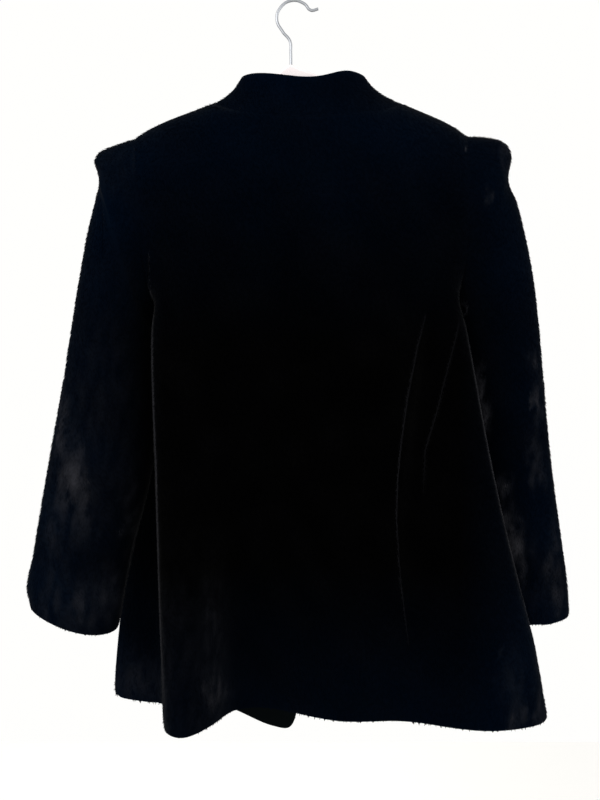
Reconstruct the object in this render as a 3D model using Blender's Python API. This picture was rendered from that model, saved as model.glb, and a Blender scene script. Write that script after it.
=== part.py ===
"""A faux fur jacket hanging by its hanger's hook, back to the viewer.

The jacket's back faces -Y, its fronts face +Y where they lie along a wall, and +Z is up. The origin is
inside the top of the hook, where the hanger hangs. Tables and named sizes are in millimetres, and each
mesh is written in metres. Every panel is a wall of cloth and pile: its outer face is worked out first,
and its inner face is the same surface moved in by the wall's thickness.
"""

import math
from collections import namedtuple

import bmesh
import bpy
import numpy as np
from mathutils import Vector
from mathutils.bvhtree import BVHTree

METRES = 0.001

# The wall is the fur fabric with its pile standing. Neighbours stay a seam gap apart.
WALL = 7.0
SEAM_GAP = 0.3
# A rim's faces split from the corner that lies back along this way.
RIM_WAY = Vector((0.5, 1.0, 0.2))

# Heights below the hook, as z
CHEST_Z = -365.0
HIP_Z = -620.0
HEM_Z = -812.0

# The armhole is widest at this share of the way from the chest to the shoulder.
ARMHOLE_WAIST = 0.45
LOWER_ROWS = 12
UPPER_ROWS = 10
# Columns over which an armhole's own curve fades into the panel
ARMHOLE_COLUMNS = 3.0
LEAST_COLUMN = 2.0

# The neck seam seen from above is an oval, and it dips at the back and more at the front.
NECK_LEFT = (-90.0, -117.5)
NECK_RIGHT = (123.0, -117.5)
# A greater lateness keeps the seam high for longer before it drops.
BACK_NECK_DROP = 28.0
BACK_NECK_LATENESS = 1.2
FRONT_NECK_DROP = 78.0
FRONT_NECK_LATENESS = 1.8
BACK_NECK_DEPTH = -49.0
FRONT_NECK_DEPTH = 50.0
SHOULDER_BOW = 3.0
SHOULDER_COLUMNS = 10
BACK_NECK_COLUMNS = 16
FRONT_NECK_COLUMNS = 7

# The stand collar leans in to a smaller oval.
COLLAR_TOP_LEFT = -59.5
COLLAR_TOP_RIGHT = 83.0
COLLAR_TOP_SIDE_Z = -89.5
COLLAR_TOP_BACK = (-36.0, -97.5)
COLLAR_TOP_FRONT = (46.0, -152.0)
COLLAR_BACK_LEVELNESS = 5.0
COLLAR_FRONT_LEVELNESS = 1.2
# How far its side bends in, out of 1: across and up. The front rises straight.
COLLAR_FLARE = (0.8, 0.8, 0.42)
# The back's top edge dips and rises: middle, half width and height of each soft wave
COLLAR_WAVES = (
    (22.0, 20.0, -1.7),
    (59.0, 15.0, 3.2),
)
COLLAR_ROWS = 4

# Where the body's outer face passes at three heights, going round from the centre front by the
# wearer's left side, the back and the right side. steps is the number of columns to the next row.
Fold = namedtuple("Fold", "name steps chest_x chest_y hip_x hip_y hem_x hem_y")
LEFT_FRONT = (
    Fold("left front edge", 2, 15, 57, 8, 58, 5, 52),
    Fold("left front facing line", 5, 2, 57, -6, 58, -9, 52),
    Fold("left front middle", 4, -70, 58, -80, 58, -70, 52),
    Fold("left front side", 4, -140, 54, -158, 57, -168, 58),
    Fold("left front lobe", 2, -160, 42, -187, 54, -203, 58),
)
BACK = (
    Fold("left side seam", 1, -140, 3, -193, 43, -214, 46),
    Fold("left lobe near side", 1, -144, -8, -183, 28, -199, 33),
    Fold("left tuck", 2, -149, -19, -142, 4, -150, 18),
    Fold("left crest edge", 2, -158, -48, -147, -66, -138, -76),
    Fold("left crest", 3, -138, -62, -126, -84, -116, -100),
    Fold("deep fold flank", 2, -98, -66, -90, -68, -85, -50),
    Fold("deep fold foot", 2, -75, -66, -72, -48, -69, -7),
    Fold("middle valley", 4, -45, -65, -46, -38, -37, 6),
    Fold("middle plateau", 7, 35, -65, 36, -54, 50, -44),
    Fold("right fold crest", 1, 143, -67, 113, -64, 118, -43),
    Fold("right valley", 1, 154, -56, 128, -50, 142, -49),
    Fold("right lobe foot", 3, 166, -56, 148, -54, 166, -63),
    Fold("right lobe crest", 3, 179, -54, 200, -69, 215, -77),
    Fold("right edge near", 1, 189, -43, 243, -57, 277, -50),
    Fold("right edge far", 2, 188, -29, 245, -41, 289, -16),
    Fold("right tuck", 1, 173, -13, 206, -31, 252, 3),
)
RIGHT_FRONT = (
    Fold("right side seam", 3, 160, 3, 196, -4, 236, 20),
    Fold("right front lobe", 3, 176, 42, 196, 44, 232, 48),
    Fold("right front side", 5, 152, 54, 170, 58, 190, 58),
    Fold("right front middle", 4, 80, 58, 80, 58, 80, 58),
    Fold("right front facing line", 2, 30, 57, 22, 58, 20, 57),
    Fold("right front edge", 0, 17, 57, 10, 58, 7, 57),
)

# How far the fronts' hems hang below the back's hem, by x. The left corner is rounded.
HemPoint = namedtuple("HemPoint", "x drop")
LEFT_HEM = (
    HemPoint(-140, 0),
    HemPoint(-100, 8),
    HemPoint(-70, 17),
    HemPoint(-33, 35),
    HemPoint(-8, 41),
    HemPoint(0, 37),
    HemPoint(5, 24),
)
RIGHT_HEM = (HemPoint(7, 14), HemPoint(80, 8), HemPoint(150, 0))

# The armholes: the shoulder point, and the widest place on the back and on the front
Armhole = namedtuple("Armhole", "shoulder_x shoulder_z back_x back_y front_x front_y")
LEFT_ARMHOLE = Armhole(-178, -156.5, -168, -46, -168, 42)
RIGHT_ARMHOLE = Armhole(197, -154.5, 194, -46, 190, 42)
YOKE_BACK_Y = -61.0
YOKE_FRONT_Y = 56.0
FRONT_ROUNDING = 90.0

# Sleeve sections after the armhole. Each is an oval between an outer and an inner point, from near_y
# on the viewer's side to far_y on the wall's side.
Section = namedtuple("Section", "outer_x outer_z inner_x inner_z near_y far_y")
LEFT_SLEEVE = (
    Section(-190, -161, -147, -370, -47, 42),
    Section(-204, -166, -152, -376, -48, 42),
    Section(-218, -170, -155, -383, -49, 42),
    Section(-228, -176, -156, -390, -50, 42),
    Section(-228, -187, -156, -397, -51, 41),
    Section(-219, -199, -156, -405, -51, 40),
    Section(-216, -213, -157, -413, -51, 39),
    Section(-225, -228, -154, -419, -52, 38),
    Section(-232, -262, -158, -431, -53, 35),
    Section(-240, -310, -159, -447, -54, 31),
    Section(-247, -360, -158, -467, -56, 26),
    Section(-254, -415, -155, -493, -58, 19),
    Section(-262, -468, -153, -522, -60, 12),
    Section(-272, -525, -154, -556, -62, 4),
    Section(-281, -580, -161, -594, -62, -2),
    Section(-289, -636, -180, -640, -62, -6),
    Section(-294, -664, -190, -687, -62, -8),
    Section(-290, -682, -194, -708, -60, -10),
)
RIGHT_SLEEVE = (
    Section(209, -155, 167, -370, -46, 42),
    Section(222, -156, 172, -375, -45, 42),
    Section(236, -157, 176, -380, -44, 43),
    Section(247, -161, 179, -386, -42, 43),
    Section(252, -170, 182, -392, -40, 44),
    Section(249, -184, 184, -399, -38, 44),
    Section(244, -202, 186, -407, -36, 45),
    Section(257, -227, 188, -416, -34, 45),
    Section(268, -263, 190, -429, -31, 46),
    Section(278, -310, 192, -446, -27, 46),
    Section(284, -360, 195, -467, -23, 47),
    Section(288, -415, 199, -493, -20, 47),
    Section(293, -468, 204, -523, -17, 48),
    Section(297, -525, 208, -557, -15, 48),
    Section(306, -580, 212, -597, -12, 48),
    Section(315, -636, 216, -641, -9, 48),
    Section(321, -680, 220, -687, -6, 48),
    Section(322, -707, 222, -719, -5, 47),
)
SLEEVE_SQUARENESS = 2.3
ARMHOLE_FADE = 5
SLEEVE_EASINGS = 5
# The cuff's near side hangs this much lower than its sides.
LEFT_CUFF_DIP = 13.0
RIGHT_CUFF_DIP = 5.0

# The hanger: a flat bar with a hump at the neck, and a wire hook
BAR_THICKNESS = 11.0
BAR_EDGE = 3.0
BAR_DEPTH = 20.0
BAR_TIP_DEPTH = 12.0
BAR_LEFT = -204.0
BAR_RIGHT = 214.0
BAR_SEAT = 0.4
BAR_ARM_STATIONS = 12
# The bar's top edge inside the neck, as x and z
HUMP = (
    (-66.0, -123.0),
    (-40.0, -104.0),
    (-20.0, -85.5),
    (-9.5, -76.5),
    (-2.3, -72.7),
    (4.0, -76.0),
    (11.0, -78.6),
    (25.0, -83.5),
    (62.0, -106.0),
    (97.0, -126.0),
)
WIRE = 3.4
HOOK_ROUTE = (
    (-2.3, -72.4),
    (-2.6, -58.0),
    (-3.5, -45.0),
    (-12.0, -34.0),
    (-18.5, -20.5),
    (-14.5, -6.5),
    (-1.0, 1.7),
    (13.0, -2.0),
    (20.5, -9.5),
    (29.0, -8.0),
)
HOOK_POINTS = 36

FUR_BLACK = (0.006, 0.006, 0.008, 1.0)
BAR_PINK = (0.78, 0.66, 0.64, 1.0)
WIRE_STEEL = (0.62, 0.63, 0.65, 1.0)

Panel = namedtuple("Panel", "outer normals closed")


def unit(vectors):
    """Each vector at length one."""
    size = np.linalg.norm(vectors, axis=-1, keepdims=True)
    return vectors / np.maximum(size, 1e-9)


def spline(points, steps):
    """A smooth curve through the points, with steps[i] pieces from point i to the next."""
    points = np.asarray(points, float)
    knots = np.concatenate([[0.0], np.cumsum(np.linalg.norm(np.diff(points, axis=0), axis=1) ** 0.5)])
    slopes = np.gradient(points, knots, axis=0)
    curve = []
    for i, count in enumerate(steps):
        span = knots[i + 1] - knots[i]
        for t in np.arange(count) / count:
            curve.append(
                (2 * t**3 - 3 * t**2 + 1) * points[i]
                + (t**3 - 2 * t**2 + t) * span * slopes[i]
                + (3 * t**2 - 2 * t**3) * points[i + 1]
                + (t**3 - t**2) * span * slopes[i + 1]
            )
    curve.append(points[-1])
    return np.array(curve)


def body_ring(share):
    """The body's outline at this share of the way down from the chest to the hem."""
    hip = (HIP_Z - CHEST_Z) / (HEM_Z - CHEST_Z)
    weights = (
        (share - hip) * (share - 1) / hip,
        share * (share - 1) / (hip * (hip - 1)),
        share * (share - hip) / (1 - hip),
    )
    folds = LEFT_FRONT + BACK + RIGHT_FRONT
    points = [
        (
            weights[0] * f.chest_x + weights[1] * f.hip_x + weights[2] * f.hem_x,
            weights[0] * f.chest_y + weights[1] * f.hip_y + weights[2] * f.hem_y,
        )
        for f in folds
    ]
    return spline(points, [f.steps for f in folds[:-1]])


def hem_drop(table, x):
    """How far the hem hangs below HEM_Z at x."""
    return np.interp(x, [p.x for p in table], [p.drop for p in table])


def neck_point(share, drop, depth, lateness):
    """A point on half of the neck seam: share 0 is the left neck point and 1 the right one."""
    angle = math.pi * share
    middle = (NECK_LEFT[0] + NECK_RIGHT[0]) / 2
    half = (NECK_RIGHT[0] - NECK_LEFT[0]) / 2
    x = middle - half * math.cos(angle)
    z = NECK_LEFT[1] + (NECK_RIGHT[1] - NECK_LEFT[1]) * share - drop * math.sin(angle) ** lateness
    return (x, depth * math.sin(angle), z)


def shoulder_z(armhole, neck, x):
    """Height of the shoulder seam at x. It bows up most at a third of its length, and it runs on past
    the armhole."""
    share = (x - armhole.shoulder_x) / (neck[0] - armhole.shoulder_x)
    bow = SHOULDER_BOW * 27 / 4 * share * (1 - share) ** 2
    return armhole.shoulder_z + (neck[1] - armhole.shoulder_z) * share + bow


def shoulder_line(armhole, neck):
    """The shoulder seam from the armhole to the neck."""
    x = np.linspace(armhole.shoulder_x, neck[0], SHOULDER_COLUMNS + 1)
    return np.column_stack([x, np.zeros(len(x)), shoulder_z(armhole, neck, x)])


def back_top():
    """The back's top edge: left shoulder seam, neck seam, right shoulder seam."""
    shares = np.linspace(0, 1, BACK_NECK_COLUMNS + 1)[1:-1]
    neck = np.array([neck_point(s, BACK_NECK_DROP, BACK_NECK_DEPTH, BACK_NECK_LATENESS) for s in shares])
    left = shoulder_line(LEFT_ARMHOLE, NECK_LEFT)
    right = shoulder_line(RIGHT_ARMHOLE, NECK_RIGHT)[::-1]
    return np.concatenate([left, neck, right])


def front_neck(side):
    """Half of the front neck seam, from the neck point to the front edge."""
    edge = LEFT_FRONT[0].chest_x if side == "left" else RIGHT_FRONT[-1].chest_x
    middle = (NECK_LEFT[0] + NECK_RIGHT[0]) / 2
    half = (NECK_RIGHT[0] - NECK_LEFT[0]) / 2
    last = math.acos((middle - edge) / half) / math.pi
    first = 0.0 if side == "left" else 1.0
    shares = np.linspace(first, last, FRONT_NECK_COLUMNS + 1)
    points = [neck_point(s, FRONT_NECK_DROP, FRONT_NECK_DEPTH, FRONT_NECK_LATENESS) for s in shares]
    return np.array(points)


def front_top(side):
    """A front's top edge, in the order in which the body ring passes it."""
    if side == "left":
        shoulder = shoulder_line(LEFT_ARMHOLE, NECK_LEFT)
        return np.concatenate([shoulder, front_neck("left")[1:]])[::-1]
    shoulder = shoulder_line(RIGHT_ARMHOLE, NECK_RIGHT)
    return np.concatenate([shoulder, front_neck("right")[1:]])


def upper_shares():
    """Heights of the rows over the chest, spaced as points on the armhole's oval."""
    angles = np.pi * np.arange(1, UPPER_ROWS + 1) / UPPER_ROWS
    low = ARMHOLE_WAIST * (1 - np.cos(angles))
    high = ARMHOLE_WAIST - (1 - ARMHOLE_WAIST) * np.cos(angles)
    return np.where(angles < np.pi / 2, low, high)


def upper_panel(chest, top, yoke_x, yoke_y, armhole_ends):
    """Rows from over the chest ring to the top edge. armhole_ends says which end columns border one."""
    count = len(chest)
    flatness = np.clip(np.abs(top[:, 1]) / FRONT_NECK_DEPTH, 0, 1)
    column = np.arange(count)
    edge = np.zeros(count)
    for end in armhole_ends:
        edge = np.maximum(edge, np.exp(-(((column - end * (count - 1)) / ARMHOLE_COLUMNS) ** 2)))
    rows = []
    for share in upper_shares():
        down = np.clip(share / ARMHOLE_WAIST, 0, 1)
        soft = (1 - down) ** 2
        round_start = 1 - math.sqrt(max(0.0, 1 - (1 - down) ** 2))
        from_chest = soft + (round_start - soft) * edge
        up = np.clip((share - ARMHOLE_WAIST) / (1 - ARMHOLE_WAIST), 0, 1)
        rounded = 1 - math.sqrt(max(0.0, 1 - up**2))
        to_top = rounded + (up**3 - rounded) * flatness
        ease = up * up * (3 - 2 * up)
        middle = 1 - from_chest - to_top
        x = (from_chest * chest[:, 0] + (1 - from_chest) * yoke_x) * (1 - ease) + ease * top[:, 0]
        y = from_chest * chest[:, 1] + middle * yoke_y + to_top * top[:, 1]
        z = CHEST_Z + share * (top[:, 2] - CHEST_Z)
        rows.append(np.stack([x, y, z], axis=1))
    return rows


def spread(x, middle, way):
    """The columns' x at the chest, with those tucked in behind the edges brought out in order."""
    x = x * way
    for i in range(middle + 1, len(x)):
        x[i] = max(x[i], x[i - 1] + LEAST_COLUMN)
    for i in range(middle - 1, -1, -1):
        x[i] = min(x[i], x[i + 1] - LEAST_COLUMN)
    return x * way


def yoke_columns(chest, top, first_x, last_x, middle):
    """x where each column crosses the armholes' widest place, half as at the chest and half as at the top."""
    way = np.sign(last_x - first_x)
    x = 0
    for line in (spread(chest[:, 0], middle, way), top[:, 0]):
        x = x + 0.5 * (first_x + (last_x - first_x) * (line - line[0]) / (line[-1] - line[0]))
    return x


def evened(rows):
    """The upper panel with its columns drawn to the ones beside them, less so near the top edge, and
    the chest row eased."""
    rows = [row.copy() for row in rows]
    for _ in range(6):
        for j, row in enumerate(rows[LOWER_ROWS + 1 : -1], 1):
            pull = 0.5 * min(1.0, (UPPER_ROWS - j) / 4)
            row[1:-1, :2] += pull * ((row[2:, :2] + row[:-2, :2]) / 2 - row[1:-1, :2])
    column = np.arange(len(rows[0]))
    inside = np.clip(np.minimum(column, column[::-1]) / 4, 0, 1)[:, None]
    for _ in range(2):
        between = [(rows[j - 1] + rows[j + 1]) / 2 - rows[j] for j in range(LOWER_ROWS - 1, LOWER_ROWS + 2)]
        for j, way in enumerate(between, LOWER_ROWS - 1):
            rows[j] += 0.5 * inside * way
    return rows


def body_panels():
    """The outer faces of the left front, the back and the right front, as rows from the hem up."""
    left_count = sum(f.steps for f in LEFT_FRONT)
    back_count = sum(f.steps for f in BACK)
    shares = np.linspace(1, 0, LOWER_ROWS + 1)
    rings = [body_ring(s) for s in shares]
    spans = (
        (0, left_count, LEFT_HEM),
        (left_count, left_count + back_count, None),
        (left_count + back_count, len(rings[0]) - 1, RIGHT_HEM),
    )
    panels = []
    for first, last, hem in spans:
        rows = []
        for share, ring in zip(shares, rings):
            part = ring[first : last + 1]
            bottom = np.full(len(part), HEM_Z)
            if hem:
                bottom = HEM_Z - hem_drop(hem, rings[0][first : last + 1, 0])
            z = CHEST_Z + share * (bottom - CHEST_Z)
            rows.append(np.column_stack([part, z]))
        panels.append(rows)
    left, back, right = panels
    tops = (front_top("left"), back_top(), front_top("right"))

    x = yoke_columns(back[-1], tops[1], LEFT_ARMHOLE.back_x, RIGHT_ARMHOLE.back_x, len(tops[1]) // 2)
    share = (x - x[0]) / (x[-1] - x[0])
    ends = LEFT_ARMHOLE.back_y + (RIGHT_ARMHOLE.back_y - LEFT_ARMHOLE.back_y) * share
    y = ends + (YOKE_BACK_Y - ends) * (1 - np.abs(2 * share - 1) ** 3)
    back += upper_panel(back[-1], tops[1], x, y, (0, 1))

    x = yoke_columns(left[-1], tops[0], left[-1][0, 0], LEFT_ARMHOLE.front_x, 0)
    left += upper_panel(left[-1], tops[0], x, front_yoke_y(x, LEFT_ARMHOLE), (1,))
    x = yoke_columns(right[-1], tops[2], RIGHT_ARMHOLE.front_x, right[-1][-1, 0], len(tops[2]) - 1)
    right += upper_panel(right[-1], tops[2], x, front_yoke_y(x, RIGHT_ARMHOLE), (0,))
    return [np.array(evened(rows)) for rows in (left, back, right)]


def front_yoke_y(x, armhole):
    """Depth of a front at the armhole's widest place: it rounds away towards the armhole."""
    inside = np.clip(np.abs(x - armhole.front_x) / FRONT_ROUNDING, 0, 1)
    return armhole.front_y + (YOKE_FRONT_Y - armhole.front_y) * np.sin(0.5 * np.pi * inside)


def armhole_loop(back_edge, front_edge):
    """The armhole's points from the underarm up the back edge and down the front edge."""
    rise = back_edge[LOWER_ROWS:]
    fall = front_edge[LOWER_ROWS + 1 : -1][::-1]
    return np.concatenate([rise, fall])


def sleeve_tube(loop, sections, cuff_dip):
    """A sleeve's outer face: a ring of points for the armhole and for each section."""
    count = len(loop)
    angles = 2 * np.pi * np.arange(count) / count
    along = (1 - np.cos(angles)) / 2
    across = np.sign(np.sin(angles)) * np.abs(np.sin(angles)) ** (2 / SLEEVE_SQUARENESS)

    def oval(s):
        middle = (s.near_y + s.far_y) / 2
        half = (s.far_y - s.near_y) / 2
        x = s.inner_x + (s.outer_x - s.inner_x) * along
        z = s.inner_z + (s.outer_z - s.inner_z) * along
        return np.stack([x, middle - half * across, z], axis=1)

    shoulder = loop[count // 2]
    first = Section(shoulder[0], shoulder[2], loop[0, 0], loop[0, 2], loop[:, 1].min(), loop[:, 1].max())
    offset = loop - oval(first)
    rings = [loop]
    for number, section in enumerate(sections, 1):
        rings.append(oval(section) + offset * max(0.0, 1 - number / ARMHOLE_FADE))
    rings[-1][:, 2] -= cuff_dip * across
    rings[-2][:, 2] -= cuff_dip / 2 * across
    rings = np.array(rings)
    under = 1 - 0.7 * along[:, None]
    for _ in range(SLEEVE_EASINGS):
        between = (rings[:-2] + rings[2:]) / 2 - rings[1:-1]
        rings[1:-3] += 0.5 * under * between[:-2]
    return rings


def collar_band(back, left_neck, right_neck):
    """The collar's outer face, from the neck seam up, going round from the left front edge."""
    base = np.concatenate([left_neck[::-1], back[1:-1], right_neck])
    middle = (COLLAR_TOP_LEFT + COLLAR_TOP_RIGHT) / 2
    half = (COLLAR_TOP_RIGHT - COLLAR_TOP_LEFT) / 2
    neck_middle = (NECK_LEFT[0] + NECK_RIGHT[0]) / 2
    neck_half = (NECK_RIGHT[0] - NECK_LEFT[0]) / 2
    across = np.clip((base[:, 0] - neck_middle) / neck_half, -1, 1)
    bow = np.sqrt(1 - across**2)
    at_back = base[:, 1] <= 0
    depth = np.where(at_back, COLLAR_TOP_BACK[0], COLLAR_TOP_FRONT[0])
    level = np.where(at_back, COLLAR_TOP_BACK[1], COLLAR_TOP_FRONT[1])
    levelness = np.where(at_back, COLLAR_BACK_LEVELNESS, COLLAR_FRONT_LEVELNESS)
    height = COLLAR_TOP_SIDE_Z + (level - COLLAR_TOP_SIDE_Z) * bow**levelness
    x = middle + half * across
    for wave_x, width, rise in COLLAR_WAVES:
        height += at_back * rise * np.exp(-(((x - wave_x) / width) ** 2))
    top = np.column_stack([x, depth * bow, height])
    front = np.clip(base[:, 1:2] / FRONT_NECK_DEPTH, 0, 1)
    flare = np.array(COLLAR_FLARE)
    bend = base + (top - base) * (flare + (0.5 - flare) * front)
    rows = []
    for share in np.linspace(0, 1, COLLAR_ROWS + 1):
        rows.append((1 - share) ** 2 * base + 2 * share * (1 - share) * bend + share**2 * top)
    return np.array(rows)


def face_normals(grid, closed):
    """The sum of the unit normals of the faces round each point of the grid, pointing out."""
    if closed:
        grid = np.concatenate([grid, grid[:, :1]], axis=1)
    across = grid[:, 1:] - grid[:, :-1]
    up = grid[1:] - grid[:-1]
    faces = unit(np.cross(across[:-1] + across[1:], up[:, :-1] + up[:, 1:]))
    normals = np.zeros_like(grid)
    normals[:-1, :-1] += faces
    normals[:-1, 1:] += faces
    normals[1:, :-1] += faces
    normals[1:, 1:] += faces
    if closed:
        normals[:, 0] += normals[:, -1]
        normals = normals[:, :-1]
    return normals


def shared_normals(grids):
    """Normals that panels share along their seams, so that their walls end on one plane."""
    total = {}
    for grid, closed in grids.values():
        for point, normal in zip(grid.reshape(-1, 3), face_normals(grid, closed).reshape(-1, 3)):
            key = tuple(np.round(point, 2))
            total[key] = total.get(key, 0) + normal
    panels = {}
    for name, (grid, closed) in grids.items():
        keys = np.round(grid.reshape(-1, 3), 2)
        normals = np.array([total[tuple(k)] for k in keys]).reshape(grid.shape)
        panels[name] = Panel(grid, unit(normals), closed)
    return panels


def seam_way(points, closed):
    """The way along a row of points, at each of them."""
    if closed:
        return np.roll(points, -1, axis=0) - np.roll(points, 1, axis=0)
    return np.gradient(points, axis=0)


def drawn_in(panel):
    """How each edge point moves to leave its half of the seam gap: along the cloth, away from the edge."""
    move = np.zeros_like(panel.outer)
    half = SEAM_GAP / 2
    for edge, sign in ((0, 1), (-1, -1)):
        seam = seam_way(panel.outer[edge], panel.closed)
        move[edge] += sign * half * unit(np.cross(panel.normals[edge], seam))
        if not panel.closed:
            seam = seam_way(panel.outer[:, edge], False)
            move[:, edge] += sign * half * unit(np.cross(seam, panel.normals[:, edge]))
    return move


def rim(bm, first, second, under_second, under_first):
    """Two faces across the wall's edge. Both sides of a seam split it from the same corner."""
    if (second.co - first.co).dot(RIM_WAY) > 0:
        bm.faces.new((first, second, under_second))
        bm.faces.new((first, under_second, under_first))
    else:
        bm.faces.new((first, second, under_first))
        bm.faces.new((second, under_second, under_first))


def wall(name, panel, material, collection):
    """A closed wall: the outer grid, the inner one, and the rims between them."""
    outer = panel.outer + drawn_in(panel)
    inner = inner_face(panel)
    rows, columns = outer.shape[:2]
    bm = bmesh.new()
    near = [[bm.verts.new(p * METRES) for p in row] for row in outer]
    far = [[bm.verts.new(p * METRES) for p in row] for row in inner]
    last = columns if panel.closed else columns - 1
    for j in range(rows - 1):
        for i in range(last):
            k = (i + 1) % columns
            bm.faces.new((near[j][i], near[j][k], near[j + 1][k], near[j + 1][i]))
            bm.faces.new((far[j + 1][i], far[j + 1][k], far[j][k], far[j][i]))
    for i in range(last):
        k = (i + 1) % columns
        rim(bm, near[0][k], near[0][i], far[0][i], far[0][k])
        rim(bm, near[-1][i], near[-1][k], far[-1][k], far[-1][i])
    if not panel.closed:
        for j in range(rows - 1):
            rim(bm, near[j][0], near[j + 1][0], far[j + 1][0], far[j][0])
            rim(bm, near[j + 1][-1], near[j][-1], far[j][-1], far[j + 1][-1])
    bmesh.ops.recalc_face_normals(bm, faces=bm.faces)
    mesh = bpy.data.meshes.new(name)
    bm.to_mesh(mesh)
    bm.free()
    mesh.shade_smooth()
    mesh.set_sharp_from_angle(angle=math.radians(60))
    mesh.materials.append(material)
    collection.objects.link(bpy.data.objects.new(name, mesh))


def material_of(name, colour, roughness, metallic=0.0):
    material = bpy.data.materials.new(name)
    material.use_nodes = True
    shader = material.node_tree.nodes["Principled BSDF"]
    shader.inputs["Base Color"].default_value = colour
    shader.inputs["Roughness"].default_value = roughness
    shader.inputs["Metallic"].default_value = metallic
    return material


def inner_face(panel):
    return panel.outer + drawn_in(panel) - panel.normals * WALL


def cloth_tree(panels):
    """A search tree of the walls' inner faces."""
    points = []
    faces = []
    for panel in panels:
        inner = inner_face(panel)
        rows, columns = inner.shape[:2]
        start = len(points)
        points += [Vector(p) for p in inner.reshape(-1, 3)]
        for j in range(rows - 1):
            for i in range(columns if panel.closed else columns - 1):
                k = (i + 1) % columns
                low = start + j * columns
                high = low + columns
                faces.append((low + i, low + k, high + k, high + i))
    return BVHTree.FromPolygons(points, faces)


def bar_arm(tree, tip_x, armhole, neck):
    """One arm's top edge from its tip to the neck: it follows the shoulder seam, just under the cloth."""
    half = BAR_THICKNESS / 2
    cut = 0.3 * BAR_EDGE
    profile = ((0.0, 0.0), (half - BAR_EDGE, 0.0), (half - cut, cut), (half, BAR_EDGE))
    drop = 0.0
    for x in np.linspace(tip_x, neck[0], 60):
        z = shoulder_z(armhole, neck, x)
        for y, lower in profile:
            for side in (y, -y):
                hit = tree.ray_cast(Vector((x, side, z - 60.0)), Vector((0.0, 0.0, 1.0)))[0]
                if hit:
                    drop = max(drop, z - hit.z - lower)
    xs = np.linspace(tip_x, neck[0], BAR_ARM_STATIONS)
    return list(zip(xs, shoulder_z(armhole, neck, xs) - drop - BAR_SEAT))


def hanger_bar(panels, material, collection):
    """A flat bar with rounded edges, cut to the outline between its top and lower edges."""
    tree = cloth_tree(panels)
    left = bar_arm(tree, BAR_LEFT, LEFT_ARMHOLE, NECK_LEFT)
    right = bar_arm(tree, BAR_RIGHT, RIGHT_ARMHOLE, NECK_RIGHT)[::-1]
    ends = [np.array(left[-1]), *[np.array(p) for p in HUMP], np.array(right[0])]
    top = left[:-1] + [tuple(p) for p in spline(ends, [3] * (len(ends) - 1))] + right[1:]
    middle = (BAR_LEFT + BAR_RIGHT) / 2
    half = (BAR_RIGHT - BAR_LEFT) / 2
    lower = []
    for x, z in top:
        share = abs((x - middle) / half)
        lower.append((x, z - BAR_TIP_DEPTH - (BAR_DEPTH - BAR_TIP_DEPTH) * (1 - share**3)))
    curve = bpy.data.curves.new("hanger_bar", "CURVE")
    curve.dimensions = "2D"
    curve.fill_mode = "BOTH"
    curve.extrude = (BAR_THICKNESS / 2 - BAR_EDGE) * METRES
    curve.bevel_depth = BAR_EDGE * METRES
    curve.offset = -BAR_EDGE * METRES
    curve.bevel_resolution = 1
    line = curve.splines.new("POLY")
    outline = top + lower[::-1]
    line.points.add(len(outline) - 1)
    for point, (x, z) in zip(line.points, outline):
        point.co = (x * METRES, z * METRES, 0.0, 1.0)
    line.use_cyclic_u = True
    curve.materials.append(material)
    bar = bpy.data.objects.new("hanger_bar", curve)
    bar.rotation_euler.x = math.pi / 2
    collection.objects.link(bar)


def hanger_hook(material, collection):
    """The wire, bent by hand through its route."""
    route = [(x, 0.0, z) for x, z in HOOK_ROUTE]
    steps = [HOOK_POINTS // (len(route) - 1)] * (len(route) - 1)
    points = spline(route, steps)
    curve = bpy.data.curves.new("hanger_hook", "CURVE")
    curve.dimensions = "3D"
    curve.bevel_depth = WIRE / 2 * METRES
    curve.bevel_resolution = 2
    curve.use_fill_caps = True
    line = curve.splines.new("POLY")
    line.points.add(len(points) - 1)
    for point, place in zip(line.points, points):
        point.co = (*(place * METRES), 1.0)
    curve.materials.append(material)
    collection.objects.link(bpy.data.objects.new("hanger_hook", curve))


def main():
    for old in list(bpy.data.objects):
        bpy.data.objects.remove(old)
    jacket = bpy.data.collections.new("faux_fur_jacket")
    bpy.context.scene.collection.children.link(jacket)

    left, back, right = body_panels()
    neck = slice(SHOULDER_COLUMNS, SHOULDER_COLUMNS + BACK_NECK_COLUMNS + 1)
    left_loop = armhole_loop(back[:, 0], left[:, -1])
    right_loop = armhole_loop(back[:, -1], right[:, 0])
    panels = shared_normals(
        {
            "left_front": (left, False),
            "back": (back, False),
            "right_front": (right, False),
            "left_sleeve": (sleeve_tube(left_loop, LEFT_SLEEVE, LEFT_CUFF_DIP), True),
            "right_sleeve": (sleeve_tube(right_loop, RIGHT_SLEEVE, RIGHT_CUFF_DIP)[:, ::-1], True),
            "collar": (collar_band(back[-1, neck], front_neck("left"), front_neck("right")), False),
        }
    )
    fur = material_of("black_fur", FUR_BLACK, 0.85)
    for name, panel in panels.items():
        wall(name, panel, fur, jacket)
    hanger_bar(panels.values(), material_of("pale_hanger", BAR_PINK, 0.5), jacket)
    hanger_hook(material_of("bright_wire", WIRE_STEEL, 0.25, 1.0), jacket)


main()
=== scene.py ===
# %% [markdown]
# A short black faux fur jacket hangs by its hanger's hook, with its back to us.
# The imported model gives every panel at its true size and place, 7 mm thick with its fur.
# This script dresses each panel: a thin backing cloth with soft creases, and on its outer
# side a dense pile of combed tufts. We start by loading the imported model.

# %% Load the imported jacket
import math

import bmesh
import bpy
import numpy as np
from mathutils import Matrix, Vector
from mathutils.bvhtree import BVHTree
from mathutils.kdtree import KDTree


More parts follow.
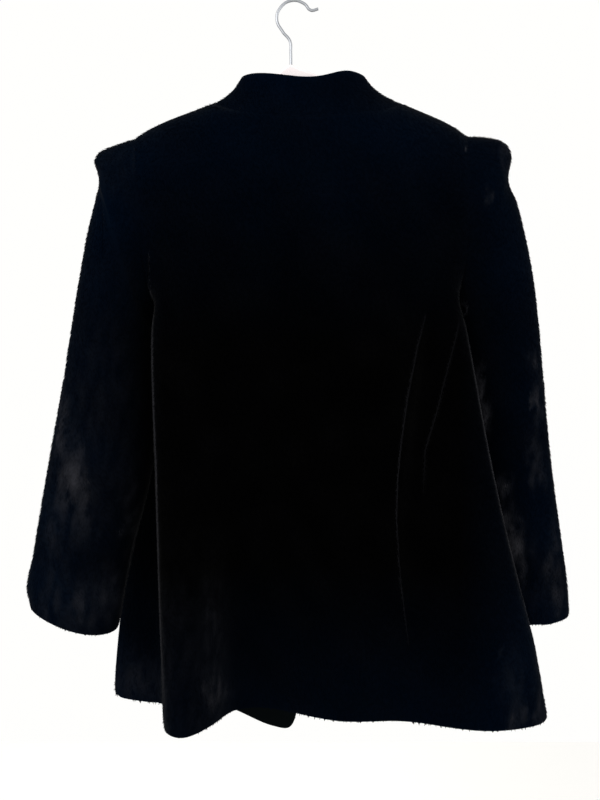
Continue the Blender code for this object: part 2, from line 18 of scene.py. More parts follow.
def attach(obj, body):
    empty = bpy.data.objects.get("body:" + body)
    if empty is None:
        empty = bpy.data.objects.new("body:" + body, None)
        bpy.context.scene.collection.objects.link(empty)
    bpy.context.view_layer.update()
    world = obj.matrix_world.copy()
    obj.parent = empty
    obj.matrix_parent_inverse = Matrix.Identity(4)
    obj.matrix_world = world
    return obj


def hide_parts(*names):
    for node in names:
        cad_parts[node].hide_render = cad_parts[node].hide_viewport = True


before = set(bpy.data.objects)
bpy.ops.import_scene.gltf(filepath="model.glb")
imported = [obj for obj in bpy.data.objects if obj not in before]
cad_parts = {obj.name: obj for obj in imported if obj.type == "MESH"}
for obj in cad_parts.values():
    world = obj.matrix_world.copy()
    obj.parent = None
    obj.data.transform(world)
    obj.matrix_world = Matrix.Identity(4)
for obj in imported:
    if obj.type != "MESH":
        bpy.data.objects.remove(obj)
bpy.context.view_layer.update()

print("packed nodes:", ", ".join(sorted(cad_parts)))


# %% [markdown]
# The camera stands level, 1.1 m behind the jacket's back and at the height of its waist.
# It is that near because the hem, which hangs towards us, shows larger than the shoulders.
# A camera added with an operator points down, so we turn it up by a quarter turn.

# %% Camera
CAMERA_PLACE = (0.00805, -1.1, -0.4577)
CAMERA_LENS = 43.04

bpy.ops.object.camera_add(location=CAMERA_PLACE, rotation=(math.pi / 2, 0, 0))
camera = bpy.context.object
camera.name = "camera"
camera.data.lens = CAMERA_LENS
bpy.context.scene.camera = camera
print("camera at", CAMERA_PLACE)


# %% [markdown]
# The room is white all round, so the world is the main light: it is as bright as
# the wall behind a jacket in a studio. Black pile shows mostly where such light grazes it.
# A large lamp from the upper left gives the folds a bright and a dark side, and a weaker
# one from the right keeps that side from going flat. The floor is a plain pale plane.

# %% Light and floor
WALL_WHITE = (1.0, 0.997, 0.985, 1.0)
FLOOR_WHITE = (0.86, 0.85, 0.83, 1.0)
FLOOR_HEIGHT = -1.30
FLOOR_WIDTH = 3.2
FLOOR_LENGTH = 2.7
FLOOR_MIDDLE = -0.095
FLOOR_ROUGHNESS = 0.9
KEY_PLACE = (-1.5, -1.6, 0.7)
KEY_SIZE = 1.2
KEY_WATTS = 45.0
SIDE_PLACE = (1.7, -0.9, -0.1)
SIDE_SIZE = 1.4
SIDE_WATTS = 20.0
LOOK_AT = Vector((0.0, -0.02, -0.42))

world = bpy.data.worlds.new("white_room")
world.use_nodes = True
world.node_tree.nodes["Background"].inputs["Color"].default_value = WALL_WHITE
bpy.context.scene.world = world
bpy.context.scene.view_settings.view_transform = "Standard"


def soft_lamp(name, place, size, watts):
    """A square lamp that faces the jacket."""
    bpy.ops.object.light_add(type="AREA", location=place)
    lamp = bpy.context.object
    lamp.name = name
    lamp.data.size = size
    lamp.data.energy = watts
    lamp.rotation_euler = (LOOK_AT - Vector(place)).to_track_quat("-Z", "Y").to_euler()


soft_lamp("key_lamp", KEY_PLACE, KEY_SIZE, KEY_WATTS)
soft_lamp("side_lamp", SIDE_PLACE, SIDE_SIZE, SIDE_WATTS)

bpy.ops.mesh.primitive_plane_add(size=1, location=(0, FLOOR_MIDDLE, FLOOR_HEIGHT))
floor = bpy.context.object
floor.scale = (FLOOR_WIDTH, FLOOR_LENGTH, 1)
bpy.ops.object.transform_apply(location=True, rotation=False, scale=True)
floor.name = "floor"
floor_paint = bpy.data.materials.new("floor_paint")
floor_paint.use_nodes = True
shader = floor_paint.node_tree.nodes["Principled BSDF"]
shader.inputs["Base Color"].default_value = FLOOR_WHITE
shader.inputs["Roughness"].default_value = FLOOR_ROUGHNESS
floor.data.materials.append(floor_paint)
print("floor at", FLOOR_HEIGHT)


# %% [markdown]
# Faux fur is a knitted backing with fibres that stand out of it. Sheared and combed, the
# fibres act like velvet: black where we look along them, and grey where light grazes them.
# Principled's sheen does this. The colour follows two attributes, which paint light into
# it. One says how far the pile is ruffled: ruffled pile shows the sides of its fibres and
# looks greyer, and the same grey is painted as sheen where light grazes the pile. The other
# paints a lighter, bluer cast towards the shoulders and sleeves, where the light makes the
# black look a little bluer; the fur's own black is even.

# %% Pile material
PILE_BLACK = (0.00022, 0.00022, 0.00025, 1.0)
# Painted cast: the lighter blue that the shoulders, sleeves and hem are painted with.
PAINTED_CAST_BLUE = (0.00015, 0.0013, 0.0038, 1.0)
# Painted sheen: the grey of the lit patches and of the bright lines along the crests.
PAINTED_SHEEN_GREY = (0.0300, 0.0300, 0.0350, 1.0)
PILE_ROUGHNESS = 0.8
PILE_GLOSS = 0.0
PILE_SHEEN = 0.022
PILE_SHEEN_ROUGHNESS = 0.4


def new_material(name):
    """A material with nodes, and its Principled shader."""
    material = bpy.data.materials.new(name)
    material.use_nodes = True
    return material, material.node_tree.nodes["Principled BSDF"]


def add_node(material, kind, **settings):
    """A node of that kind, with some of its settings."""
    node = material.node_tree.nodes.new(kind)
    for name, value in settings.items():
        setattr(node, name, value)
    return node


def ramp(material, start, end):
    """A colour ramp from one colour to another."""
    node = add_node(material, "ShaderNodeValToRGB")
    node.color_ramp.elements[0].color = start
    node.color_ramp.elements[1].color = end
    return node


def colour_socket(sockets, name):
    """The socket of that name that is in use: a Mix node has one for each kind of data."""
    return next(s for s in sockets if s.name == name and s.enabled)


pile_look, shader = new_material("black_pile")
shader.inputs["Roughness"].default_value = PILE_ROUGHNESS
shader.inputs["Specular IOR Level"].default_value = PILE_GLOSS
shader.inputs["Sheen Weight"].default_value = PILE_SHEEN
shader.inputs["Sheen Roughness"].default_value = PILE_SHEEN_ROUGHNESS
# Two attributes bring painted light: a cool cast, and a painted sheen grey over ruffled pile.
cast_node = add_node(pile_look, "ShaderNodeAttribute", attribute_name="painted_cool_cast")
ruffle_and_sheen = add_node(pile_look, "ShaderNodeAttribute", attribute_name="ruffle_and_sheen")
black = ramp(pile_look, PILE_BLACK, PAINTED_CAST_BLUE)
sheen_painted = add_node(pile_look, "ShaderNodeMix", data_type="RGBA")
colour_socket(sheen_painted.inputs, "B").default_value = PAINTED_SHEEN_GREY
links = pile_look.node_tree.links
links.new(cast_node.outputs["Fac"], black.inputs["Fac"])
links.new(black.outputs["Color"], colour_socket(sheen_painted.inputs, "A"))
links.new(ruffle_and_sheen.outputs["Fac"], colour_socket(sheen_painted.inputs, "Factor"))
links.new(colour_socket(sheen_painted.outputs, "Result"), shader.inputs["Base Color"])
print("made", pile_look.name)


# %% [markdown]
# The inner side is a plain black lining cloth. Its fine weave is drawn with two crossing
# waves, which also raise a slight relief. They read object coordinates, in metres, and at
# a scale of 1 a wave texture's bands are about 0.3 m apart.

# %% Lining material
LINING_DARK = (0.0004, 0.0011, 0.0014, 1.0)
LINING_LIGHT = (0.0012, 0.0026, 0.0031, 1.0)
LINING_ROUGHNESS = 0.55
LINING_GLOSS = 0.01
THREAD_PITCH = 0.0012
THREAD_WANDER = 0.6
BAND_PITCH = 0.32
WEAVE_STRENGTH = 0.3
WEAVE_DEPTH = 0.0002

lining_look, shader = new_material("black_lining")
shader.inputs["Roughness"].default_value = LINING_ROUGHNESS
shader.inputs["Specular IOR Level"].default_value = LINING_GLOSS
shader.inputs["Sheen Weight"].default_value = PILE_SHEEN
place = add_node(lining_look, "ShaderNodeTexCoord")
waves = []
for direction in ("X", "Z"):
    wave = add_node(lining_look, "ShaderNodeTexWave", bands_direction=direction)
    wave.inputs["Scale"].default_value = BAND_PITCH / THREAD_PITCH
    wave.inputs["Distortion"].default_value = THREAD_WANDER
    lining_look.node_tree.links.new(place.outputs["Object"], wave.inputs["Vector"])
    waves.append(wave)
weave = add_node(lining_look, "ShaderNodeMath", operation="MULTIPLY")
tint = ramp(lining_look, LINING_DARK, LINING_LIGHT)
relief = add_node(lining_look, "ShaderNodeBump")
relief.inputs["Strength"].default_value = WEAVE_STRENGTH
relief.inputs["Distance"].default_value = WEAVE_DEPTH
links = lining_look.node_tree.links
links.new(waves[0].outputs["Fac"], weave.inputs[0])
links.new(waves[1].outputs["Fac"], weave.inputs[1])
links.new(weave.outputs["Value"], tint.inputs["Fac"])
links.new(weave.outputs["Value"], relief.inputs["Height"])
links.new(tint.outputs["Color"], shader.inputs["Base Color"])
links.new(relief.outputs["Normal"], shader.inputs["Normal"])
print("made", lining_look.name)


# %% [markdown]
# Each packed panel is a closed wall of loose triangles. We copy it, merge its corners and
# pair most of its triangles into quads, which bend more evenly when they are subdivided.

# %% Copy a panel
MERGE = 0.00001
ANY_PAIR = math.radians(60)


def choose(piece):
    """Selects this object alone."""
    bpy.ops.object.select_all(action="DESELECT")
    piece.select_set(True)
    bpy.context.view_layer.objects.active = piece


def merged_copy(node_name, piece_name):
    """A packed panel as a new object with shared corners and mostly quads."""
    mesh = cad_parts[node_name].data.copy()
    mesh.name = piece_name
    piece = bpy.data.objects.new(piece_name, mesh)
    bpy.context.scene.collection.objects.link(piece)
    choose(piece)
    bpy.ops.object.mode_set(mode="EDIT")
    bpy.ops.mesh.select_all(action="SELECT")
    bpy.ops.mesh.remove_doubles(threshold=MERGE)
    bpy.ops.mesh.tris_convert_to_quads(face_threshold=ANY_PAIR, shape_threshold=ANY_PAIR)
    bpy.ops.object.mode_set(mode="OBJECT")
    for name in ("sharp_edge", "sharp_face", "custom_normal"):
        if name in mesh.attributes:
            mesh.attributes.remove(mesh.attributes[name])
    return piece


print("packed back:", len(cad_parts["back"].data.polygons), "triangles")


# %% [markdown]
# Next we tell its outer side from its inner side. From one face that surely lies outside,
# we walk to its neighbours as long as the cloth only bends softly. The sharp turn at the
# panel's edge stops the walk, and so does a face that lies against the next panel. A ray
# from the first face through the wall finds where to start on the inner side.

# %% Find a panel's two sides
SHARP_TURN = math.radians(50)
COLLAR_TURN = math.radians(60)
WALL_MOST = 0.012
STEP_IN = 0.0001
SEAM_GAP = 0.0008


def walk_side(start, turn, seam):
    """The faces that join the start face by bends of less than this turn, up to the seam."""
    found, ahead = {start}, [start]
    while ahead:
        face = ahead.pop()
        for edge in face.edges:
            if edge.calc_face_angle(math.pi) > turn:
                continue
            for other in edge.link_faces:
                if other not in found and other not in seam:
                    found.add(other)
                    ahead.append(other)
    return found


def two_sides(shape, outside_point, turn, neighbours):
    """The outer and inner faces of a panel's wall."""
    seam = {f for f in shape.faces if neighbours.find_nearest(f.calc_center_median(), SEAM_GAP)[0]}
    seed = min(shape.faces, key=lambda f: (f.calc_center_median() - outside_point).length)
    tree = BVHTree.FromBMesh(shape)
    start = seed.calc_center_median() - seed.normal * STEP_IN
    hit = tree.ray_cast(start, -seed.normal, WALL_MOST)
    return walk_side(seed, turn, seam), walk_side(shape.faces[hit[2]], turn, seam)


print("a turn of", round(math.degrees(SHARP_TURN)), "degrees ends a side")


# %% [markdown]
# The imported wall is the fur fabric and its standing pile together. We keep its outer side
# where it is, because that is what shows, and bring the inner side towards it, so that a
# cloth of about 4 mm is left. The way in at a corner is the mean normal of that side alone.
# A corner at the rim also moves on along the cloth: a little at a free edge, because the
# rounding takes it back, and further at a seam, where a gap would let light through.

# %% Find the ways that the corners move
EDGE_ON = 0.0002
COLLAR_EDGE_ON = 0.0006
SEAM_ON = 0.0016
SEAM_NEAR = 0.0025
LEAST_WAY = 0.1


def side_normals(faces):
    """The mean normal at each corner of some faces, from those faces alone."""
    normals = {}
    for face in sorted(faces, key=lambda f: f.index):
        for vert in face.verts:
            normals[vert] = normals.get(vert, Vector()) + face.normal * face.calc_area()
    return {vert: normal.normalized() for vert, normal in normals.items()}


def rim_moves(side, normals, neighbours, edge_on):
    """How each corner at the rim of one side moves on along the cloth."""
    moves = {}
    for vert, normal in normals.items():
        rims = [f for f in vert.link_faces if f not in side]
        if not rims:
            continue
        outward = sum((f.normal for f in rims), Vector())
        outward -= normal * outward.dot(normal)
        joined = any(all(f in side for f in edge.link_faces) for edge in vert.link_edges)
        if outward.length < LEAST_WAY or not joined:
            continue
        near = neighbours.find_nearest(vert.co, SEAM_NEAR)[0]
        moves[vert] = outward.normalized() * (edge_on if near is None else SEAM_ON)
    return moves


print("cloth moves on by", SEAM_ON * 1000, "mm at a seam")


# %% [markdown]
# Now the cloth itself. Subdividing rounds a shape and so makes it a little smaller: that is
# why the outer side first moves out a bit. The rim's edges are creased and shaded sharp, so
# that the rim stays a plain narrow band and no bright line runs beside it.

# %% Bring the wall in to a thin cloth
OUTER_SWELL = 0.0010
LINING_ROOM = 0.0034
RIM_CREASE = 1.0
CLOTH_LEVELS = 2


def drawn_in_cloth(node_name, outside_point, neighbours):
    """A panel's thin cloth, subdivided, with its outer faces in the first slot."""
    cloth = merged_copy(node_name, node_name + "_cloth")
    shape = bmesh.new()
    shape.from_mesh(cloth.data)
    shape.faces.ensure_lookup_table()
    is_collar = node_name == "collar"
    turn = COLLAR_TURN if is_collar else SHARP_TURN
    edge_on = COLLAR_EDGE_ON if is_collar else EDGE_ON
    outer, inner = two_sides(shape, outside_point, turn, neighbours)
    counts = f"{len(outer)} outer and {len(inner)} inner faces, {len(outer & inner)} in both"
    moves = {}
    for side, room in ((outer, -OUTER_SWELL), (inner, LINING_ROOM)):
        normals = side_normals(side)
        along = rim_moves(side, normals, neighbours, edge_on)
        for vert, normal in normals.items():
            moves[vert] = along.get(vert, Vector()) - normal * room
    creases = shape.edges.layers.float.new("crease_edge")
    for edge in shape.edges:
        rims = [f for f in edge.link_faces if f not in outer and f not in inner]
        if len(rims) == 1:
            edge[creases] = RIM_CREASE
            edge.smooth = False
    for vert, move in moves.items():
        vert.co += move
    for face in shape.faces:
        face.material_index = 1 if face in inner else 0
        face.smooth = True
    cloth.data.materials.clear()
    cloth.data.materials.append(pile_look)
    cloth.data.materials.append(lining_look)
    shape.to_mesh(cloth.data)
    shape.free()
    finer = cloth.modifiers.new("finer", "SUBSURF")
    finer.levels = CLOTH_LEVELS
    choose(cloth)
    bpy.ops.object.modifier_apply(modifier="finer")
    print(f"{cloth.name}: {counts}")
    return cloth


print("cloth levels:", CLOTH_LEVELS)


# %% [markdown]
# All six panels are drawn in this way. Each gets a point that lies outside it, and all the
# other panels joined as one tree, in which the nearest point tells a seam from an edge.

# %% Make the six cloths
OUTSIDE = {
    "back": (0.03, -0.15, -0.40),
    "left_front": (-0.10, 0.15, -0.40),
    "right_front": (0.12, 0.15, -0.40),
    "left_sleeve": (-0.33, -0.01, -0.45),
    "right_sleeve": (0.36, 0.01, -0.45),
    "collar": (0.01, -0.10, -0.14),
}


def tree_of_others(node_name):
    """One search tree over all the panels but this one."""
    corners, faces = [], []
    for other in OUTSIDE:
        if other == node_name:
            continue
        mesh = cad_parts[other].data
        faces += [[len(corners) + i for i in f.vertices] for f in mesh.polygons]
        corners += [v.co.copy() for v in mesh.vertices]
    return BVHTree.FromPolygons(corners, faces)


others = {name: tree_of_others(name) for name in OUTSIDE}
cloths = {
    name: drawn_in_cloth(name, Vector(point), others[name])
    for name, point in OUTSIDE.items()
}


# %% [markdown]
# Hung cloth is never quite even. Soft creases drag from the armholes and elbows and run
# down from the chest. Each is given as a line of points on a panel, with its own
# depth and width: a trough where the depth is above zero, and a ridge where it is below.
# Both sides of the cloth move together, so that its thickness stays the same.

# %% Soft creases
# Each panel's creases: their depth, width and points, all in metres.
CREASES = {
    "back": (
        (0.0020, 0.010, (-0.143, -0.045, -0.315), (-0.128, -0.050, -0.365), (-0.118, -0.055, -0.420)),
        (-0.0012, 0.009, (-0.130, -0.045, -0.330), (-0.108, -0.050, -0.400)),
        (0.0015, 0.014, (-0.120, -0.030, -0.195), (-0.092, -0.038, -0.260), (-0.078, -0.042, -0.330)),
        (0.0014, 0.012, (-0.030, -0.030, -0.188), (0.010, -0.030, -0.194), (0.052, -0.030, -0.185)),
        (0.0024, 0.020, (-0.036, -0.040, -0.440), (-0.028, -0.040, -0.600), (-0.010, -0.040, -0.775)),
        (-0.0016, 0.017, (0.016, -0.050, -0.400), (0.026, -0.050, -0.590), (0.034, -0.050, -0.770)),
        (0.0018, 0.015, (0.050, -0.055, -0.470), (0.066, -0.055, -0.620), (0.078, -0.055, -0.750)),
        (0.0016, 0.011, (0.160, -0.040, -0.300), (0.150, -0.048, -0.345)),
        (0.0012, 0.013, (0.120, -0.030, -0.200), (0.098, -0.040, -0.265), (0.094, -0.045, -0.330)),
        (0.0020, 0.012, (0.178, -0.055, -0.520), (0.192, -0.055, -0.640), (0.205, -0.055, -0.760)),
        (-0.0014, 0.010, (0.205, -0.060, -0.560), (0.222, -0.060, -0.680), (0.238, -0.060, -0.780)),
        (0.0012, 0.008, (-0.128, -0.075, -0.640), (-0.118, -0.080, -0.720), (-0.112, -0.080, -0.790)),
    ),
    "left_front": (
        (0.0026, 0.016, (-0.096, 0.050, -0.340), (-0.112, 0.055, -0.560), (-0.128, 0.055, -0.790)),
        (0.0018, 0.012, (-0.058, 0.050, -0.430), (-0.050, 0.050, -0.620), (-0.055, 0.050, -0.780)),
        (-0.0015, 0.012, (-0.082, 0.050, -0.480), (-0.086, 0.050, -0.790)),
        (0.0020, 0.009, (-0.142, 0.040, -0.305), (-0.118, 0.045, -0.350), (-0.104, 0.050, -0.410)),
        (0.0014, 0.012, (-0.110, 0.030, -0.190), (-0.080, 0.040, -0.245)),
        (-0.0012, 0.009, (-0.160, 0.045, -0.420), (-0.172, 0.045, -0.640)),
    ),
    "right_front": (
        (0.0024, 0.015, (0.104, 0.050, -0.360), (0.118, 0.050, -0.560), (0.142, 0.050, -0.770)),
        (0.0016, 0.011, (0.058, 0.050, -0.470), (0.064, 0.050, -0.770)),
        (-0.0016, 0.013, (0.084, 0.050, -0.420), (0.096, 0.050, -0.780)),
        (0.0019, 0.010, (0.152, 0.040, -0.310), (0.132, 0.045, -0.365), (0.120, 0.050, -0.430)),
        (0.0013, 0.011, (0.116, 0.030, -0.195), (0.092, 0.040, -0.255)),
        (-0.0013, 0.011, (0.178, 0.045, -0.460), (0.206, 0.045, -0.690)),
    ),
    "left_sleeve": (
        (0.0021, 0.008, (-0.256, -0.045, -0.430), (-0.236, -0.052, -0.456), (-0.212, -0.050, -0.470)),
        (0.0014, 0.007, (-0.250, -0.050, -0.492), (-0.228, -0.055, -0.506)),
        (-0.0014, 0.007, (-0.254, -0.048, -0.462), (-0.230, -0.053, -0.482)),
        (0.0016, 0.009, (-0.262, -0.050, -0.588), (-0.238, -0.058, -0.618), (-0.214, -0.055, -0.630)),
        (0.0015, 0.008, (-0.212, -0.035, -0.208), (-0.206, -0.042, -0.260), (-0.204, -0.042, -0.300)),
        (0.0017, 0.009, (-0.190, -0.035, -0.330), (-0.212, -0.045, -0.362)),
        (0.0020, 0.009, (-0.252, 0.000, -0.420), (-0.226, 0.006, -0.452), (-0.206, 0.004, -0.462)),
        (0.0015, 0.008, (-0.248, -0.002, -0.520), (-0.222, 0.002, -0.542)),
        (-0.0013, 0.009, (-0.258, -0.008, -0.610), (-0.230, -0.004, -0.640)),
        (0.0016, 0.010, (-0.196, 0.020, -0.260), (-0.214, 0.018, -0.330)),
    ),
    "right_sleeve": (
        (0.0020, 0.008, (0.268, -0.010, -0.425), (0.246, -0.012, -0.448), (0.228, -0.012, -0.462)),
        (-0.0013, 0.007, (0.272, -0.010, -0.462), (0.252, -0.012, -0.480)),
        (0.0016, 0.008, (0.280, -0.008, -0.498), (0.256, -0.010, -0.522), (0.240, -0.010, -0.530)),
        (0.0015, 0.009, (0.292, -0.004, -0.600), (0.270, -0.006, -0.632)),
        (0.0016, 0.005, (0.2165, -0.035, -0.226), (0.2200, -0.038, -0.231), (0.2215, -0.038, -0.238)),
        (0.0015, 0.009, (0.214, -0.020, -0.320), (0.232, -0.020, -0.362)),
        (0.0021, 0.009, (0.262, 0.044, -0.430), (0.236, 0.046, -0.458)),
        (0.0014, 0.008, (0.272, 0.042, -0.530), (0.246, 0.046, -0.552)),
        (-0.0013, 0.009, (0.284, 0.040, -0.620), (0.262, 0.044, -0.650)),
        (0.0015, 0.010, (0.206, 0.030, -0.270), (0.222, 0.034, -0.340)),
    ),
}

print("creases:", {name: len(lines) for name, lines in CREASES.items()})


# %% [markdown]
# Some edges hang a few millimetres from where they were packed: the right fold, edges of
# the sleeves and cuffs, the hollow under each square head, and the hem by the deep fold.
# A sway moves all the corners within its reach by one step, not along the cloth's normals,
# so that a narrow fold keeps its width.

# %% Move the cloth at its creases and sways
# Depth counts for a quarter, so a line's depth may be rough. It still stays on its own side.
DEPTH_SCALE = np.array([1.0, 0.25, 1.0])
CREASE_ENDS = (0.08, 0.92)
# Each panel's sways: their step, reach and points.
SWAYS = {
    "back": (
        ((-0.0080, 0, 0), 0.035, (0.193, -0.040, -0.370), (0.232, -0.045, -0.545), (0.266, -0.040, -0.725)),
        ((0, 0, 0.0045), 0.014, (-0.168, -0.010, -0.810), (-0.128, -0.015, -0.815)),
    ),
    "left_sleeve": (
        ((-0.0024, 0, 0), 0.020, (-0.300, -0.030, -0.630), (-0.296, -0.030, -0.712)),
        ((0, 0, -0.0026), 0.025, (-0.276, -0.030, -0.732), (-0.198, -0.030, -0.722)),
        ((-0.0045, 0, 0), 0.014, (-0.160, -0.030, -0.530), (-0.178, -0.030, -0.605),
         (-0.205, -0.030, -0.690)),
        ((0.0026, 0, 0), 0.013, (-0.226, -0.010, -0.188), (-0.222, -0.010, -0.226)),
    ),
    "right_sleeve": (
        ((-0.0042, 0, 0), 0.014, (0.254, 0.000, -0.186), (0.252, 0.000, -0.226)),
        ((0, 0, 0.0030), 0.014, (0.253, 0.010, -0.722), (0.290, 0.010, -0.712)),
    ),
}


def nearest_on_line(points, line):
    """How far each point is from a line of straight steps, and how far along it."""
    points, line = points * DEPTH_SCALE, np.array(line) * DEPTH_SCALE
    steps = np.linalg.norm(np.diff(line, axis=0), axis=1)
    before = np.concatenate([[0], np.cumsum(steps)])
    away, along = np.full(len(points), np.inf), np.zeros(len(points))
    for start, end, first, step in zip(line, line[1:], before, steps):
        share = np.clip((points - start) @ (end - start) / step**2, 0, 1)
        gap = np.linalg.norm(points - start - share[:, None] * (end - start), axis=1)
        nearer = gap < away
        away[nearer], along[nearer] = gap[nearer], (first + share * step)[nearer]
    return away, along / before[-1]


def corner_places(cloth):
    """The places of a cloth's corners, as an array."""
    places = np.empty((len(cloth.data.vertices), 3))
    cloth.data.vertices.foreach_get("co", places.ravel())
    return places


def crease_cloth(name, cloth):
    """Moves a cloth's corners in at its troughs, out at its ridges, and by its sways."""
    places = corner_places(cloth)
    rise = np.zeros(len(places))
    for depth, width, *line in CREASES.get(name, ()):
        away, along = nearest_on_line(places, line)
        fade = np.sin(math.pi * np.clip(along, *CREASE_ENDS))
        rise -= depth * np.exp(-((away / width) ** 2)) * fade
    inner = {i for face in cloth.data.polygons if face.material_index == 1 for i in face.vertices}
    normals = np.array([v.normal for v in cloth.data.vertices])
    normals[sorted(inner)] *= -1
    moves = normals * rise[:, None]
    for step, reach, *line in SWAYS.get(name, ()):
        away, along = nearest_on_line(places, line)
        pull = np.exp(-((away / reach) ** 2)) * np.sin(math.pi * along)
        moves += pull[:, None] * np.array(step)
    places += moves
    cloth.data.vertices.foreach_set("co", places.ravel())
    cloth.data.update()
    return np.abs(rise).max() * 1000


for name, cloth in cloths.items():
    print(f"{name}: deepest crease {crease_cloth(name, cloth):.1f} mm")


# %% [markdown]
# A pile of this kind has thousands of fibres to a square centimetre. Hair curves could be
# that fine, but they don't export. So we model what the eye sees: tufts, each a slim closed
# spike of four triangles, rooted in the backing and combed down over the next ones. All the
# tufts of a panel are one mesh, made from arrays. Their places are spread evenly over the
# outer faces, by area, from a fixed random seed.

# %% Spread points over the outer side
LEAST_AREA = 1e-12
LEAST_LENGTH = 1e-9


def unit(ways):
    """The same directions, all of length 1."""
    return ways / np.maximum(np.linalg.norm(ways, axis=1, keepdims=True), LEAST_LENGTH)


def outer_triangles(cloth):
    """The corners, corner normals and areas of the outer side's triangles, as arrays."""
    mesh = cloth.data
    mesh.calc_loop_triangles()
    points = corner_places(cloth)
    corners = np.array([t.vertices for t in mesh.loop_triangles if t.material_index == 0])
    flat = np.cross(
        points[corners[:, 1]] - points[corners[:, 0]],
        points[corners[:, 2]] - points[corners[:, 0]],
    )
    normals = np.zeros_like(points)
    for i in range(3):
        np.add.at(normals, corners[:, i], flat)
    normals /= np.maximum(np.linalg.norm(normals, axis=1, keepdims=True), LEAST_AREA)
    return points[corners], normals[corners], np.linalg.norm(flat, axis=1) / 2


def kept_triangles(cloth, keep):
    """The outer side's triangles, or only those whose middles are kept."""
    corners, normals, areas = outer_triangles(cloth)
    if keep is None:
        return corners, normals, areas
    chosen = keep(corners.mean(1))
    return corners[chosen], normals[chosen], areas[chosen]


def spread_points(cloth, count, seed, keep=None):
    """Places and normals of so many roots, even by area."""
    corners, normals, areas = kept_triangles(cloth, keep)
    rng = np.random.default_rng(seed)
    steps = (np.arange(count) + rng.random(count)) / count * areas.sum()
    which = np.minimum(np.searchsorted(np.cumsum(areas), steps), len(areas) - 1)
    u, v = rng.random((2, count, 1))
    u, v = np.where(u + v > 1, 1 - u, u), np.where(u + v > 1, 1 - v, v)
    weights = np.concatenate([1 - u - v, u, v], axis=1)[:, :, None]
    return (corners[which] * weights).sum(1), unit((normals[which] * weights).sum(1))


for name, cloth in cloths.items():
    print(f"{name}: {outer_triangles(cloth)[2].sum():.3f} m2 to cover")


# %% [markdown]
# Nothing about a brushed pile is even, and nothing about it changes sharply. Soft clouds
# give such values: we add up a few waves that run in random ways, from a fixed seed again.

# %% Soft clouds
WAVES = 24
WAVE_SPREAD = (0.6, 1.6)


def clouds(points, size, seed):
    """Soft uneven values, mostly from -1 to 1, that change over about the given size."""
    rng = np.random.default_rng(seed)
    ways = unit(rng.normal(size=(WAVES, 3))) * rng.uniform(*WAVE_SPREAD, (WAVES, 1))
    phases = rng.uniform(0, 2 * math.pi, WAVES)
    return np.sin(points @ ways.T * (2 * math.pi / size) + phases).sum(1) / math.sqrt(WAVES)


sample = clouds(corner_places(cloths["collar"]), size=0.05, seed=1)
print(f"clouds on the collar: {sample.min():.1f} to {sample.max():.1f}")


# %% [markdown]
# Two places need care. At a free edge, such as the hem, long tufts would stick out as a
# ragged fringe, so they are very short on the rim and reach their full length a few
# millimetres in. The gap is measured to the lining's edge, which lies one rim away. At a
# seam the tufts lean over to the next panel and hide it, as real fur does when it is picked
# out of a seam with a pin.

# %% Find the edges and seams near each root
RIM_WIDTH = 0.0044
EDGE_FADE = 0.0046
EDGE_SHORTEST = 0.12
SEAM_REACH = 0.006
SEAM_CLEAR = 0.0017


def edge_shortness(cloth, roots):
    """How long each tuft is for its distance to the panel's edge, as a share."""
    polygons = cloth.data.polygons
    sides = [{i for f in polygons if f.material_index == side for i in f.vertices} for side in (0, 1)]
    border = sorted(sides[0] & sides[1])
    tree = KDTree(len(border))
    for i in border:
        tree.insert(cloth.data.vertices[i].co, i)
    tree.balance()
    gaps = np.array([tree.find(root)[2] for root in roots.tolist()])
    from_edge = np.sqrt(np.maximum(gaps**2 - RIM_WIDTH**2, 0))
    return EDGE_SHORTEST + (1 - EDGE_SHORTEST) * np.clip(from_edge / EDGE_FADE, 0, 1)


def seam_pull(name, roots):
    """The way from each root to a neighbouring panel, longer where it is nearer.

    The second result tells the roots that lie clear of the neighbour.
    """
    pulls, clear = np.zeros_like(roots), np.ones(len(roots), bool)
    for i, root in enumerate(roots.tolist()):
        near, _, _, gap = others[name].find_nearest(root, SEAM_REACH)
        if near is not None and gap > 0:
            pulls[i] = np.array(near - Vector(root)) / gap * (1 - gap / SEAM_REACH)
            clear[i] = gap > SEAM_CLEAR
    return pulls, clear


print("full length from", EDGE_FADE * 1000, "mm inside an edge")


# %% [markdown]
# A piece's material can be painted on a map of it. Each tuft gets its own small square
# of the map, so that no two share paint, and its four sides have their own places.

# %% A place on the map for each tuft
# The corners of a tuft's sides in its square: three that meet on top, and the small base.
TUFT_CELL = np.array([[0.33, 0], [0, 0], [0.5, 1], [0.66, 0], [0.33, 0], [0.5, 1],
                      [1, 0], [0.66, 0], [0.5, 1], [0, 0.6], [0.15, 0.6], [0, 0.9]])
CELL_MARGIN = 0.1


def tuft_map(count):
    """The map places of every side's corners, tuft by tuft."""
    side = math.ceil(math.sqrt(count))
    index = np.arange(count)
    square = np.stack([index % side, index // side], axis=1)
    inside = CELL_MARGIN + (1 - 2 * CELL_MARGIN) * TUFT_CELL
    return ((square[:, None] + inside) / side).reshape(-1, 2)


print("map places for 4 tufts:", len(tuft_map(4)))


# %% [markdown]
# Each tuft leans away from the cloth's normal along the comb direction. That direction
# wanders a little from place to place, so that the pile looks brushed and not printed.
# The tuft's own normals are bent back towards the cloth's normal: thousands of crossing
# fibres scatter light like one soft surface, and facets alone would glitter.

# %% Grow tufts
TUFT_LENGTH = 0.0046
TUFT_LENGTHS = (0.75, 1.12)
TUFT_WIDTH = 0.0014
TUFT_WIDTHS = (0.8, 1.2)
TUFT_RIDGE = 0.45
TUFT_LEAN = math.radians(69)
LINE_RISE = math.radians(4)
ROOT_DEPTH = 0.0004
COMB_SIZE = 0.045
